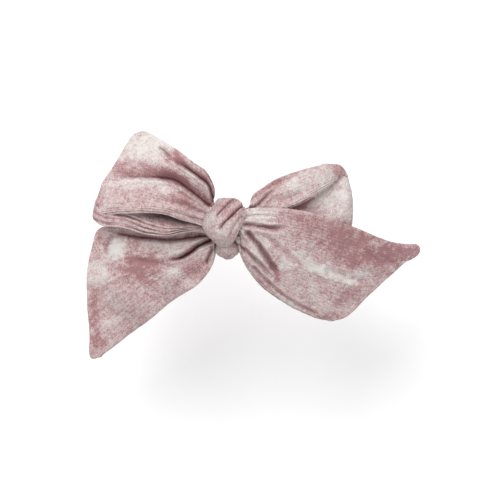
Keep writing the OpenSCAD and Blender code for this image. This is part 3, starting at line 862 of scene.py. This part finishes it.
def make_knot():
    """The velvet band round the sash and the bar, with its inside close to the sash."""
    turns, sides = 320, 140
    a = np.linspace(-180, 180, turns, endpoint=False)
    table = np.array(KNOT_TABLE, float)
    left, right, outer = (np.interp(a, table[:, 0], table[:, k]) for k in (1, 2, 3))
    reach = 14
    kernel = np.hanning(2 * reach + 1)
    kernel /= kernel.sum()

    def eased(values):
        padded = np.concatenate([values[-reach:], values, values[:reach]])
        return np.convolve(padded, kernel, "valid")

    left, right, outer = eased(left), eased(right), eased(outer)
    rad = np.radians(a)
    inner_y = 5.6
    inner_z = np.where(np.cos(rad) > 0, 6.3, 7.2)
    inner = (np.abs(np.sin(rad) / inner_y) ** 4 + np.abs(np.cos(rad) / inner_z) ** 4) ** -0.25
    inner = np.minimum(inner, outer - 0.9)
    phi = np.linspace(0, 2 * math.pi, sides, endpoint=False)
    u = np.sign(np.cos(phi)) * np.abs(np.cos(phi)) ** 0.8
    v = np.sign(np.sin(phi)) * np.abs(np.sin(phi)) ** 0.62
    x = (left + right)[:, None] / 2 + (right - left)[:, None] / 2 * u
    face = smoothstep(-0.1, 0.7, np.cos(rad))[:, None]
    droop = 2.2 * face * np.abs(u) ** 3
    r = (outer + inner)[:, None] / 2 + (outer - inner)[:, None] / 2 * v - droop
    points = np.stack(
        [x, r * np.sin(rad)[:, None], KNOT_Z + r * np.cos(rad)[:, None]], axis=2
    )
    height, dark = fold_fields(points, KNOT_FOLDS)
    out = np.stack([np.zeros(turns), np.sin(rad), np.cos(rad)], axis=1)[:, None]
    skin = (v > 0)[None, :] * smoothstep(-0.2, 0.4, np.cos(rad))[:, None]
    ropes = 0.06 * np.cos(2 * math.pi * (u[None, :] * 2.6 + rad[:, None] * 0.5)) * (v > 0)
    points = points + out * (height * skin + ropes)[..., None]
    points += 0.12 * noise_field(points, 4.0, 8)[..., None] * out
    points += 0.04 * noise_field(points, 1.2, 9)[..., None] * out
    nap_and_painted_light = patches_at(points, KNOT_PATCHES, 0.4)
    # Painted shade: grey darkening on the knot's left and lower parts, besides the painted shade
    # along its folds
    painted_grey_shade = 0.34 * np.clip(patches_at(points, KNOT_PAINTED_SHADE, 0.0), 0, 1)
    faces = []
    for i in range(turns):
        k = (i + 1) % turns
        for j in range(sides):
            l = (j + 1) % sides
            faces.append((i * sides + j, k * sides + j, k * sides + l, i * sides + l))
    rib = np.broadcast_to(x, nap_and_painted_light.shape)
    hem = np.full(nap_and_painted_light.shape, NO_HEM)
    attributes = {"dark": np.maximum(dark * skin, painted_grey_shade), "nap_and_painted_light": nap_and_painted_light, "rib": rib, "hem": hem}
    knot_mesh = new_object("knot_velvet", points.reshape(-1, 3), faces, velvet, attributes)
    return on_bow(knot_mesh)


knot = make_knot()
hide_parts("knot")


def make_tuck():
    """Gathered end of the knot's band, which shows as a lobe below the knot."""
    around, rings = 120, 60
    a = np.linspace(0, 2 * math.pi, around, endpoint=False)
    b = np.linspace(-math.pi / 2, math.pi / 2, rings + 2)[1:-1]
    turn, rise = np.meshgrid(a, b, indexing="ij")
    pleats = 1 + 0.03 * np.cos(5 * turn + 1.0) + 0.015 * np.cos(11 * turn)
    x = 0.5 + 4.2 * np.cos(turn) * np.cos(rise) ** 0.8 * pleats
    y = -7.9 + 3.8 * np.sin(turn) * np.cos(rise) ** 0.8 * pleats
    z = 16.4 + 4.8 * np.sin(rise)
    points = np.stack([x, y, z], axis=2)
    points += 0.2 * noise_field(points, 2.6, 21)[..., None] * (0.7, 0.7, 1)
    ends = [points[:, 0].mean(0), points[:, -1].mean(0)]
    verts = np.concatenate([points.reshape(-1, 3), ends])
    faces = capped_tube_faces(around, rings)
    nap_and_painted_light = patches_at(verts, KNOT_PATCHES, 0.46)
    # Painted shade: the lobe is painted darker all over, most where it meets the knot
    dark = 0.28 + 0.1 * smoothstep(-9.5, -8, verts[:, 1])
    hem = np.full(len(verts), NO_HEM)
    attributes = {"dark": dark, "nap_and_painted_light": nap_and_painted_light, "rib": verts[:, 0], "hem": hem}
    return on_bow(new_object("knot_tuck", verts, faces, velvet, attributes))


tuck = make_tuck()


def make_waist():
    """The sash's cloth where the thread gathers it, inside the knot."""
    low, high = (np.array(corner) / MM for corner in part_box("gathered_waist"))
    middle, size = (low + high) / 2, (high - low) / 2
    turns, rings = 220, 40
    a = np.linspace(0, 2 * math.pi, turns, endpoint=False)[:, None]
    u = np.linspace(-1, 1, rings)[None]
    pleats = 0.6 * np.cos(17 * a + 0.9 * u) + 0.4 * np.cos(29 * a - 1.4 * u)
    waist = 0.86 + 0.06 * u**2 + 0.07 * pleats
    x = middle[0] + 0.98 * size[0] * u + 0 * a
    y = middle[1] + size[1] * waist * np.cos(a)
    z = middle[2] + size[2] * waist * np.sin(a)
    points = np.stack([x, y, z], axis=2)
    ends = [(x[0, 0], middle[1], middle[2]), (x[0, -1], middle[1], middle[2])]
    verts = np.concatenate([points.reshape(-1, 3), ends])
    faces = capped_tube_faces(turns, rings)
    # Painted shade in the pleats' valleys and painted highlight on their crests
    dark = np.concatenate([np.clip(-0.5 * pleats, 0, 1).ravel(), [0, 0]])
    nap_and_painted_light = np.concatenate([(0.4 + 0.25 * pleats).ravel(), [0.4, 0.4]])
    hem = np.full(len(verts), NO_HEM)
    attributes = {"dark": dark, "nap_and_painted_light": nap_and_painted_light, "rib": verts[:, 1], "hem": hem}
    return on_bow(new_object("waist_velvet", verts, faces, velvet, attributes))


waist = make_waist()
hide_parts("gathered_waist")


# ---------------------------------------------------------------- the felt pad


def make_felt():
    """Strip of felt cut by hand: rounded ends, soft edges and a slightly uneven outline."""
    low, high = (np.array(corner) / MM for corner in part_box("felt_pad"))
    middle, size = (low + high) / 2, (high - low) / 2
    u, v = np.meshgrid(np.linspace(-1, 1, 260), shares_across(44) * 2 - 1, indexing="ij")
    x = size[0] * np.sin(u * math.pi / 2)
    past = np.clip(np.abs(x) - (size[0] - size[1]), 0, size[1])
    width = np.sqrt(np.maximum(size[1] ** 2 - 0.92 * past**2, 0.1))
    y = width * v
    z = np.full(x.shape, middle[2])
    points = np.stack([x + middle[0], y + middle[1], z], axis=2)
    edge = np.minimum(width - np.abs(y), size[0] - np.abs(x))
    soft = np.clip(edge / 0.6, 0, 1)
    half = size[2] * np.sqrt(np.clip(1 - (1 - soft) ** 2, 0.02, 1)) * 0.96
    rough = 0.03 * noise_field(points, 0.9, 31) - 0.03
    outline = bell(edge / 0.5) * (0.18 * noise_field(points, 2.2, 32) - 0.15)
    toward = np.stack([np.sign(x) * (past > 0), np.sign(y), 0 * x], axis=2)
    detail = outline[..., None] * toward
    flat = {"dark": np.zeros(x.shape), "nap_and_painted_light": np.full(x.shape, 0.5)}
    return on_bow(shell("felt_sheet", points, detail, half + rough, felt, flat, flat))


felt_sheet = make_felt()
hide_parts("felt_pad")


# ---------------------------------------------------------------- CAD parts that stay

steel = metal_material("nickel_plate", (0.6, 0.59, 0.57), 0.26)
spring_steel = metal_material("spring_steel", (0.5, 0.5, 0.51), 0.32)
rivet_metal = metal_material("rivet_metal", (0.64, 0.62, 0.59), 0.2)


def paint(nodes, material):
    for name in nodes:
        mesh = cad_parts[name].data
        mesh.materials.clear()
        mesh.materials.append(material)


paint(["top_bar", "lock_arm", "clasp_plate"], steel)
paint(["tension_bar", "front_prong", "rear_prong"], spring_steel)
paint(["hinge_pin", "tension_pin", "clasp_rivets"], rivet_metal)
paint(["gather_thread", "bar_stitches"], thread)


# ---------------------------------------------------------------- stage


def make_stage():
    """Floor far enough below the barrette that its lock arm swings open above it."""
    mesh = bpy.data.meshes.new("floor")
    r, z = FLOOR_HALF, -FLOOR_DROP
    mesh.from_pydata([(-r, -r, z), (r, -r, z), (r, r, z), (-r, r, z)], [], [(0, 1, 2, 3)])
    mesh.materials.append(floor_material())
    floor = bpy.data.objects.new("floor", mesh)
    bpy.context.scene.collection.objects.link(floor)


def add_light(name, place, size, power):
    light = bpy.data.lights.new(name, "AREA")
    light.shape = "DISK"
    light.size = size
    light.energy = power
    obj = bpy.data.objects.new(name, light)
    obj.location = place
    obj.rotation_euler = (Vector((0, 0, 0.01)) - Vector(place)).to_track_quat("-Z", "Y").to_euler()
    bpy.context.scene.collection.objects.link(obj)


def make_camera():
    camera = bpy.data.cameras.new("camera")
    distance, width, level = 0.9, 0.168, 0.018
    camera.sensor_width = 36
    camera.lens = 36 * distance / width
    camera.clip_start = 0.01
    obj = bpy.data.objects.new("camera", camera)
    obj.location = (0.0049, -0.0049, level + distance)
    bpy.context.scene.collection.objects.link(obj)
    bpy.context.scene.camera = obj


make_stage()
add_light("key", (-0.22, 0.42, 0.6), 0.55, 5.0)
add_light("fill", (0.5, -0.3, 0.7), 0.7, 1.6)
world = bpy.data.worlds.new("studio")
world.use_nodes = True
world.node_tree.nodes["Background"].inputs[0].default_value = (1, 1, 1, 1)
world.node_tree.nodes["Background"].inputs[1].default_value = WORLD_LIGHT
bpy.context.scene.world = world
bpy.context.scene.view_settings.view_transform = "Standard"
make_camera()
